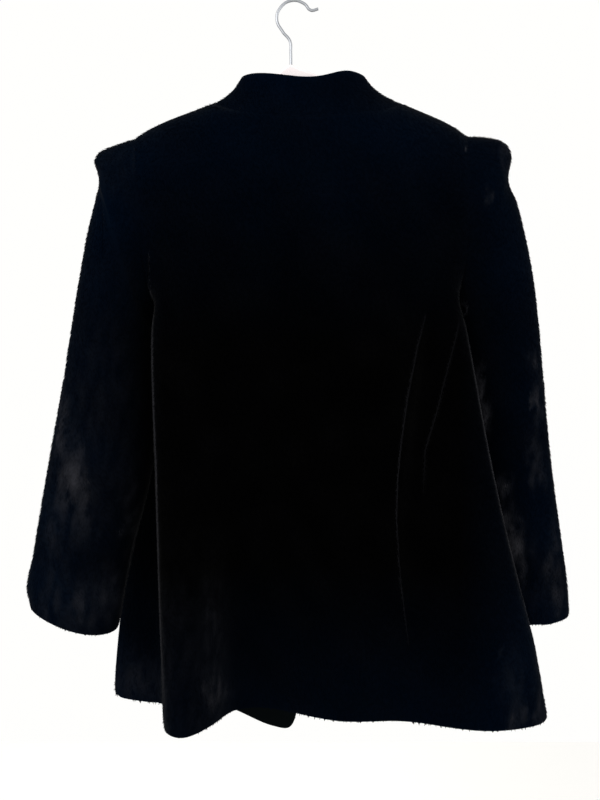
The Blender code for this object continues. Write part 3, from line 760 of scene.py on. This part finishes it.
# How far the comb swings sideways and the lean varies: by soft clouds, and tuft by tuft.
SWING_CLOUDS, SWING_EACH = 0.30, 0.20
LEAN_CLOUDS, LEAN_EACH = 0.06, 0.08
ROUND_SHARE = 0.30
# A tuft's corners are its left, top and right root and its tip. Each side winds outwards.
TUFT_SIDES = ([1, 0, 3], [2, 1, 3], [0, 2, 3], [0, 1, 2])


def tufts(name, roots, normals, comb, looks, share, calm, seed):
    """One mesh of combed tufts.

    Each look is a name and a function of places. Share is how long each tuft is, and calm
    is 0 for the tufts that don't wander, which also stand up a little more.
    """
    count = len(roots)
    rng = np.random.default_rng(seed)
    comb = unit(comb - normals * (comb * normals).sum(1, keepdims=True))
    across = np.cross(normals, comb)
    swing = SWING_CLOUDS * clouds(roots, COMB_SIZE, seed + 1) + rng.normal(0, SWING_EACH, count)
    comb = unit(comb + across * (swing * calm)[:, None])
    across = np.cross(normals, comb)
    lean = rng.normal(0, LEAN_EACH, count) + LEAN_CLOUDS * clouds(roots, COMB_SIZE, seed + 2)
    lean = TUFT_LEAN + (lean * calm - LINE_RISE * (1 - calm))[:, None]
    way = normals * np.cos(lean) + comb * np.sin(lean)
    length = TUFT_LENGTH * rng.uniform(*TUFT_LENGTHS, (count, 1)) * share[:, None]
    width = TUFT_WIDTH * rng.uniform(*TUFT_WIDTHS, (count, 1))
    above = unit(np.cross(way, across))
    above *= np.sign((above * normals).sum(1, keepdims=True))
    base = roots - normals * ROOT_DEPTH
    points = np.stack(
        [base - across * width / 2, base + above * width * TUFT_RIDGE,
         base + across * width / 2, base + way * length], axis=1)
    facing = np.stack(
        [normals - across * ROUND_SHARE, normals,
         normals + across * ROUND_SHARE, normals + way * ROUND_SHARE], axis=1)
    start = 4 * np.arange(count)[:, None]
    faces = np.stack([start + side for side in TUFT_SIDES], axis=1)
    mesh = bpy.data.meshes.new(name)
    mesh.from_pydata(points.reshape(-1, 3).tolist(), [], faces.reshape(-1, 3).tolist())
    mesh.uv_layers.new(name="OFBake").data.foreach_set("uv", tuft_map(count).ravel())
    for word, look in looks.items():
        value = np.repeat(look(roots), 4)
        value[3::4] = look(points[:, 3])
        mesh.attributes.new(word, "FLOAT", "POINT").data.foreach_set("value", value)
    mesh.shade_smooth()
    mesh.normals_split_custom_set_from_vertices(unit(facing.reshape(-1, 3)).tolist())
    mesh.materials.append(pile_look)
    piece = bpy.data.objects.new(name, mesh)
    bpy.context.scene.collection.objects.link(piece)
    return piece


print(f"a tuft stands {TUFT_LENGTH * math.cos(TUFT_LEAN) * 1000:.1f} mm over its root")


# %% [markdown]
# The pile lies down the garment. Where it has been brushed by hands or rubbed, it is
# ruffled, and where light grazes it, it looks grey: on the sleeves, along the folds and near
# the hem. That grey is painted sheen as much as ruffled pile. Each place is a soft oval with
# its own size and strength. Clouds make its edge ragged, and fill it with streaks that run down.

# %% Where the pile is ruffled
# Each panel's ruffled and sheen-painted places: their middle, half width and half height, and strength.
RUFFLED_AND_SHEEN_PLACES = {
    "left_sleeve": (
        ((-0.236, -0.059, -0.534), 0.007, 0.022, 0.26),
        ((-0.230, -0.059, -0.556), 0.007, 0.016, 0.22),
        ((-0.248, -0.056, -0.545), 0.012, 0.034, 0.16),
        # A painted rim light: a thin grey strip down the left sleeve's outer edge.
        ((-0.254, -0.050, -0.490), 0.005, 0.036, 0.19),
        ((-0.228, -0.059, -0.590), 0.014, 0.022, 0.08),
        ((-0.262, -0.055, -0.620), 0.012, 0.040, 0.07),
        ((-0.240, -0.062, -0.685), 0.050, 0.030, 0.07),
        ((-0.234, -0.062, -0.677), 0.0035, 0.016, 0.08),
        ((-0.200, -0.050, -0.665), 0.007, 0.022, 0.07),
        ((-0.177, -0.035, -0.585), 0.005, 0.032, 0.12),
        ((-0.205, -0.040, -0.200), 0.030, 0.030, 0.025),
        ((-0.220, -0.050, -0.480), 0.050, 0.130, 0.030),
    ),
    "right_sleeve": (
        ((0.2095, -0.018, -0.448), 0.004, 0.020, 0.42),
        ((0.2175, -0.016, -0.480), 0.005, 0.015, 0.52),
        ((0.2385, -0.013, -0.562), 0.006, 0.010, 0.40),
        ((0.2450, -0.011, -0.599), 0.006, 0.013, 0.42),
        ((0.2540, -0.010, -0.621), 0.006, 0.017, 0.42),
        ((0.2620, -0.009, -0.648), 0.004, 0.014, 0.20),
        ((0.2720, -0.010, -0.411), 0.005, 0.007, 0.22),
        ((0.2790, -0.008, -0.460), 0.005, 0.020, 0.27),
        ((0.2755, -0.010, -0.520), 0.007, 0.017, 0.20),
        ((0.2800, -0.009, -0.545), 0.008, 0.011, 0.20),
        ((0.2990, -0.004, -0.640), 0.006, 0.032, 0.14),
        ((0.3060, 0.002, -0.686), 0.006, 0.015, 0.16),
        ((0.2780, -0.004, -0.670), 0.030, 0.050, 0.035),
        ((0.2200, -0.040, -0.231), 0.003, 0.005, 0.30),
        ((0.2390, -0.010, -0.182), 0.006, 0.024, 0.12),
    ),
    "back": (
        # Painted highlights: a small spot by the collar, a lit flank down the deep fold, lit places along
        # the hem.
        ((0.1930, -0.029, -0.178), 0.002, 0.004, 0.30),
        ((-0.0890, -0.057, -0.705), 0.006, 0.050, 0.05),
        ((-0.0870, -0.057, -0.777), 0.006, 0.018, 0.14),
        ((-0.0740, -0.057, -0.787), 0.008, 0.008, 0.11),
        ((-0.1300, -0.070, -0.740), 0.060, 0.090, 0.030),
        ((0.2410, -0.061, -0.803), 0.007, 0.010, 0.32),
        ((0.2700, -0.055, -0.796), 0.005, 0.014, 0.18),
        ((0.2380, -0.061, -0.770), 0.012, 0.030, 0.06),
        ((0.2230, -0.060, -0.729), 0.003, 0.004, 0.06),
        ((0.2310, -0.060, -0.765), 0.003, 0.004, 0.12),
        ((-0.1860, 0.030, -0.785), 0.040, 0.028, 0.08),
    ),
    "left_front": (
        ((-0.0900, 0.055, -0.600), 0.020, 0.060, 0.10),
    ),
    "right_front": (
        ((0.1300, 0.055, -0.680), 0.016, 0.050, 0.10),
    ),
}

print("ruffled places:", {name: len(places) for name, places in RUFFLED_AND_SHEEN_PLACES.items()})


# %% [markdown]
# On a tight fold the pile parts, and where light grazes the crest a thin bright line runs
# down it: a highlight painted into the colour. Two crests are looked up in the cloths. The
# other lines are given by their own points: creases in which the pile parts, painted lit in
# the same way, and a small painted ring of light where the fold leaves the right sleeve.

# %% Where the pile parts
# Each painted crest highlight: its panel, the way that it faces, its range in height and in width, and
# strength.
LIT_CRESTS = (
    ("back", (0.97, -0.25), (-0.775, -0.368), (0.185, 0.300), 0.80),
    ("left_sleeve", (0.97, -0.25), (-0.700, -0.560), (-0.230, -0.150), 0.35),
)
LIT_RING = ((0.186, -0.029, -0.353), (0.190, -0.029, -0.348), (0.195, -0.029, -0.353),
        (0.194, -0.029, -0.360), (0.190, -0.029, -0.363), (0.186, -0.029, -0.353))
# Each panel's other painted highlight lines: their strength and width, then their points.
LIT_LINES = {
    "back": (
        (0.60, 1.0, (-0.158, -0.045, -0.296), (-0.159, -0.033, -0.335), (-0.154, -0.051, -0.392),
         (-0.151, -0.060, -0.479), (-0.148, -0.064, -0.523), (-0.145, -0.069, -0.630),
         (-0.142, -0.072, -0.716), (-0.136, -0.080, -0.780)),
        (0.22, 1.0, (0.144, -0.062, -0.365), (0.135, -0.068, -0.398), (0.124, -0.070, -0.452),
         (0.117, -0.070, -0.501), (0.113, -0.069, -0.544), (0.112, -0.066, -0.587), (0.116, -0.059, -0.643),
         (0.123, -0.052, -0.699), (0.127, -0.050, -0.725)),
        (0.10, 1.6, (0.185, -0.056, -0.365), (0.177, -0.056, -0.392), (0.158, -0.054, -0.469),
         (0.145, -0.053, -0.512), (0.143, -0.052, -0.560)),
        (0.30, 1.2, *LIT_RING),
        (0.20, 1.0, (-0.066, -0.045, -0.794), (-0.045, -0.045, -0.792), (-0.025, -0.045, -0.794),
         (-0.005, -0.045, -0.799)),
        (0.18, 1.0, (-0.092, -0.020, -0.129), (-0.081, -0.022, -0.134)),
    ),
    "right_sleeve": (
        (0.30, 1.2, *LIT_RING),
    ),
    "left_sleeve": (
        (0.22, 1.0, (-0.213, -0.030, -0.215), (-0.209, -0.038, -0.250), (-0.206, -0.040, -0.300)),
        (0.08, 3.0, (-0.180, -0.028, -0.170), (-0.172, -0.033, -0.208)),
    ),
}

print(len(LIT_CRESTS), "crests, and other lines on", ", ".join(LIT_LINES))


# %% [markdown]
# At every height, a crest is the outer point that reaches furthest in the given direction.
# The cloth's corners lie a few millimetres apart, so we smooth the line a little.

# %% Look up the crests
CREST_STEP = 0.012


def crest(cloth, way, heights, widths):
    """The points down a fold's crest."""
    points = corner_places(cloth)
    line = []
    for height in np.arange(heights[0], heights[1] + CREST_STEP / 2, CREST_STEP):
        near = np.abs(points[:, 2] - height) < CREST_STEP
        near &= (points[:, 0] > widths[0]) & (points[:, 0] < widths[1])
        found = points[near]
        if len(found):
            x, y, _ = found[np.argmax(found[:, 0] * way[0] + found[:, 1] * way[1])]
            line.append((x, y, height))
    line = np.array(line)
    line[1:-1, :2] = (line[:-2, :2] + 2 * line[1:-1, :2] + line[2:, :2]) / 4
    return line


def lit_lines_on(name):
    """The painted highlight lines that may show on this panel: strength, width and points."""
    crests = [
        (strength, 1.0, *crest(cloths[panel], way, heights, widths))
        for panel, way, heights, widths, strength in LIT_CRESTS
        if panel == name
    ]
    return crests + list(LIT_LINES.get(name, ()))


print("lines:", {name: len(lit_lines_on(name)) for name in cloths})


# %% [markdown]
# The pile's material reads two attributes, which we work out here for any point. The ruffle
# and painted sheen is the sum of the ovals and the painted highlight lines, over a faint
# haze. The painted cool cast grows towards the shoulders, the sleeves and the hem. The
# backing gets both too, so that it has the same tone as the pile on it.

# %% Ruffle, painted sheen and painted cool cast
PATCH_DEPTH = 0.05
RAGGED_SIZE, RAGGED_SHIFT, RAGGED_SEEDS = 0.016, 0.0045, (18, 19, 20)
STREAK = np.array([1.0, 0.6, 0.40])
STREAK_SIZE, STREAK_CLOUDS, STREAK_SEED = 0.011, 0.55, 7
STREAK_LIMITS = (0.15, 2.0)
LINE_WIDTH = 0.0011
LINE_ENDS = (0.02, 0.98)
LINE_POWER = 0.4
HAZE, HAZE_SIZE, HAZE_SEED = 0.003, 0.060, 12
# Where the painted cool cast starts, over what distance, and how fast or how much.
TOP_START, TOP_REACH, TOP_POWER = -0.41, 0.28, 1.3
BODY_MIDDLE = 0.02
SIDE_START, SIDE_REACH, SIDE_SHARE = 0.16, 0.20, 1.6
HEM_START, HEM_REACH, HEM_SHARE = 0.64, 0.20, 0.8
COOL_SHARE, COOL_CLOUDS, COOL_SIZE, COOL_SEED = 0.9, 0.12, 0.09, 4


def ruffled_and_sheen_painted(points, panel, lines):
    """How far the pile is ruffled, with painted sheen, at each point of a panel, from 0 to 1."""
    value = np.zeros(len(points))
    shifts = [clouds(points, RAGGED_SIZE, seed) for seed in RAGGED_SEEDS]
    ragged = points + RAGGED_SHIFT * np.stack(shifts, axis=1)
    for middle, wide, high, strength in RUFFLED_AND_SHEEN_PLACES.get(panel, ()):
        away = (ragged - np.array(middle)) / (wide, PATCH_DEPTH, high)
        value += strength * np.exp(-(away**2).sum(1))
    streaks = STREAK_CLOUDS * clouds(points * STREAK, STREAK_SIZE, STREAK_SEED)
    value *= np.clip(1 + streaks, *STREAK_LIMITS)
    for strength, width, *line in lines:
        away, along = nearest_on_line(points, line)
        fade = np.sin(math.pi * np.clip(along, *LINE_ENDS)) ** LINE_POWER
        value += strength * np.exp(-((away / (LINE_WIDTH * width)) ** 2)) * fade
    value += HAZE + HAZE * clouds(points, HAZE_SIZE, HAZE_SEED)
    return np.clip(value, 0, 1)


def risen(values, start, reach):
    """From 0 at the start to 1 at that reach further on."""
    return np.clip((values - start) / reach, 0, 1)


def painted_cool_cast(points):
    """How much painted cool cast each point gets: most on top, none in the body's middle."""
    x, z = points[:, 0], points[:, 2]
    top = risen(z, TOP_START, TOP_REACH) ** TOP_POWER
    sides = risen(np.abs(x - BODY_MIDDLE), SIDE_START, SIDE_REACH) * SIDE_SHARE
    hem = risen(-z, HEM_START, HEM_REACH) * HEM_SHARE
    uneven = COOL_SHARE + COOL_CLOUDS * clouds(points, COOL_SIZE, COOL_SEED)
    return np.clip(top + sides + hem, 0, 1) * uneven


for name, cloth in cloths.items():
    points = corner_places(cloth)
    for word, value in (("ruffle_and_sheen", ruffled_and_sheen_painted(points, name, ())), ("painted_cool_cast", painted_cool_cast(points))):
        cloth.data.attributes.new(word, "FLOAT", "POINT").data.foreach_set("value", value)
        print(f"{name}: {word} {value.min():.3f} to {value.max():.3f}")


# %% [markdown]
# Now the pile can grow. A close row of extra roots runs along each painted highlight line, so
# that it is unbroken. The back is the largest panel and gets two pieces. The collar bends
# tightly, so its tufts stand closer.

# %% Grow the piles
PILE_PER_SQUARE_METRE = 205000
COLLAR_DENSITY = 1.4
BACK_PARTING = -0.51
LINE_PITCH = 0.0006
DOWN = np.array([0.0, 0.0, -1.0])
SEAM_COVER = 1.3
# Above this pull to a seam, a tuft keeps its full length.
PULLED = 0.1


def roots_on_lines(cloth, lines):
    """A close row of roots along each painted highlight line, with their normals."""
    corners = outer_triangles(cloth)[0]
    faces = np.arange(3 * len(corners)).reshape(-1, 3).tolist()
    tree = BVHTree.FromPolygons(corners.reshape(-1, 3).tolist(), faces)
    roots, normals = [], []
    for _, _, *line in lines:
        for start, end in zip(line, line[1:]):
            start, end = Vector(start), Vector(end)
            steps = max(1, round((end - start).length / LINE_PITCH))
            for i in range(steps):
                place, normal, _, _ = tree.find_nearest(start.lerp(end, i / steps))
                roots.append(place)
                normals.append(normal)
    return np.array(roots).reshape(-1, 3), np.array(normals).reshape(-1, 3)


def grow(name, panel, seed, keep=None, density=1.0):
    """A panel's pile, or a part of it, as one piece."""
    cloth = cloths[panel]
    count = int(kept_triangles(cloth, keep)[2].sum() * PILE_PER_SQUARE_METRE * density)
    roots, normals = spread_points(cloth, count, seed, keep)
    lines = lit_lines_on(panel)
    looks = {"ruffle_and_sheen": lambda places: ruffled_and_sheen_painted(places, panel, lines), "painted_cool_cast": painted_cool_cast}
    more, their_normals = roots_on_lines(cloth, lines)
    if keep is not None:
        chosen = keep(more)
        more, their_normals = more[chosen], their_normals[chosen]
    calm = np.repeat([1.0, 0.0], [len(roots), len(more)])
    roots, normals = np.concatenate([roots, more]), np.concatenate([normals, their_normals])
    pulls, clear = seam_pull(panel, roots)
    roots, normals, pulls, calm = roots[clear], normals[clear], pulls[clear], calm[clear]
    comb = DOWN + SEAM_COVER * pulls
    share = np.maximum(edge_shortness(cloth, roots), np.linalg.norm(pulls, axis=1) > PULLED)
    piece = tufts(name, roots, normals, comb, looks, share, calm, seed)
    print(f"{name}: {len(roots)} tufts, {4 * len(roots)} triangles")
    return piece


piles = {
    "back": [
        grow("back_upper_pile", "back", seed=11, keep=lambda p: p[:, 2] > BACK_PARTING),
        grow("back_lower_pile", "back", seed=12, keep=lambda p: p[:, 2] <= BACK_PARTING),
    ],
    "left_front": [grow("left_front_pile", "left_front", seed=13)],
    "right_front": [grow("right_front_pile", "right_front", seed=14)],
    "left_sleeve": [grow("left_sleeve_pile", "left_sleeve", seed=15)],
    "right_sleeve": [grow("right_sleeve_pile", "right_sleeve", seed=16)],
    "collar": [grow("collar_pile", "collar", seed=17, density=COLLAR_DENSITY)],
}


# %% [markdown]
# The hanger's bar is right as it was packed, so it only gets its finish: a smooth pale
# pink coat whose colour is a little uneven, with the faint relief of thick paint. A helper
# does the mottling, because the wire needs it too.

# %% Bar finish
BAR_PINK = (0.66, 0.60, 0.60, 1.0)
BAR_PALE = (0.71, 0.66, 0.66, 1.0)
BAR_ROUGHNESS = 0.38
MOTTLE_SCALE = 60.0
PAINT_STRENGTH = 0.15
PAINT_DEPTH = 0.0003


def mottled(material, shader, scale, start, end):
    """Mottles the base colour between two colours, and returns the noise that does it."""
    place = add_node(material, "ShaderNodeTexCoord")
    noise = add_node(material, "ShaderNodeTexNoise")
    noise.inputs["Scale"].default_value = scale
    tint = ramp(material, start, end)
    links = material.node_tree.links
    links.new(place.outputs["Object"], noise.inputs["Vector"])
    links.new(noise.outputs["Fac"], tint.inputs["Fac"])
    links.new(tint.outputs["Color"], shader.inputs["Base Color"])
    return noise


bar_look, shader = new_material("pale_pink_coat")
shader.inputs["Roughness"].default_value = BAR_ROUGHNESS
mottle = mottled(bar_look, shader, MOTTLE_SCALE, BAR_PINK, BAR_PALE)
relief = add_node(bar_look, "ShaderNodeBump")
relief.inputs["Strength"].default_value = PAINT_STRENGTH
relief.inputs["Distance"].default_value = PAINT_DEPTH
bar_look.node_tree.links.new(mottle.outputs["Fac"], relief.inputs["Height"])
bar_look.node_tree.links.new(relief.outputs["Normal"], shader.inputs["Normal"])
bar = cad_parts["hanger_bar"]
bar.material_slots[0].link = "OBJECT"
bar.material_slots[0].material = bar_look
print("made", bar_look.name)


# %% [markdown]
# The hook is bright steel wire that has been handled: its tone and its gloss vary together,
# in patches of about a centimetre.

# %% Wire finish
STEEL = (0.38, 0.39, 0.41, 1.0)
STEEL_WORN = (0.28, 0.29, 0.31, 1.0)
WEAR_SCALE = 90.0
WIRE_ROUGHNESS = (0.40, 0.52)

wire_look, shader = new_material("bright_wire")
shader.inputs["Metallic"].default_value = 1.0
wear = mottled(wire_look, shader, WEAR_SCALE, STEEL_WORN, STEEL)
rough = add_node(wire_look, "ShaderNodeMapRange")
rough.inputs["To Min"].default_value = WIRE_ROUGHNESS[0]
rough.inputs["To Max"].default_value = WIRE_ROUGHNESS[1]
wire_look.node_tree.links.new(wear.outputs["Fac"], rough.inputs["Value"])
wire_look.node_tree.links.new(rough.outputs["Result"], shader.inputs["Roughness"])
print("made", wire_look.name)


# %% [markdown]
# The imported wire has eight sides, so we bend a rounder one along the same route and let it
# stand for it: a curve with a round bevel, turned into a mesh.

# %% Bend the wire
WIRE_RADIUS = 0.0017
WIRE_STEPS = 10
WIRE_ROUND = 3
SOFT_TURN = math.radians(40)
# The route's points: how far to the side and up, in metres.
WIRE_ROUTE = (
    (-0.0023, -0.0724), (-0.0026, -0.0580), (-0.0035, -0.0450), (-0.0120, -0.0340),
    (-0.0185, -0.0205), (-0.0145, -0.0065), (-0.0010, 0.0017), (0.0130, -0.0020),
    (0.0205, -0.0095), (0.0290, -0.0080),
)

bpy.ops.curve.primitive_nurbs_path_add()
wire = bpy.context.object
wire.name = "wire_hook"
wire.data.splines.clear()
line = wire.data.splines.new("BEZIER")
line.bezier_points.add(len(WIRE_ROUTE) - 1)
for point, (x, z) in zip(line.bezier_points, WIRE_ROUTE):
    point.co = (x, 0, z)
    point.handle_left_type = "AUTO"
    point.handle_right_type = "AUTO"
line.resolution_u = WIRE_STEPS
wire.data.bevel_depth = WIRE_RADIUS
wire.data.bevel_resolution = WIRE_ROUND
wire.data.use_fill_caps = True
choose(wire)
bpy.ops.object.convert(target="MESH")
wire.data.materials.clear()
wire.data.materials.append(wire_look)
bpy.ops.object.shade_smooth_by_angle(angle=SOFT_TURN)
print("wire:", len(wire.data.polygons), "faces")


# %% [markdown]
# Last, every piece rides on the imported model's one body. Each cloth stands for its panel,
# whose packed part is hidden, and the pile pieces ride with it. The new wire stands for the
# hook.

for name, cloth in cloths.items():
    for piece in [cloth] + piles[name]:
        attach(piece, "root")
    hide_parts(name)
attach(wire, "root")
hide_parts("hanger_hook")
added = [*cloths.values(), wire] + [piece for group in piles.values() for piece in group]
triangles = sum(len(f.vertices) - 2 for piece in added for f in piece.data.polygons)
print(len(added), "new pieces,", triangles, "triangles")
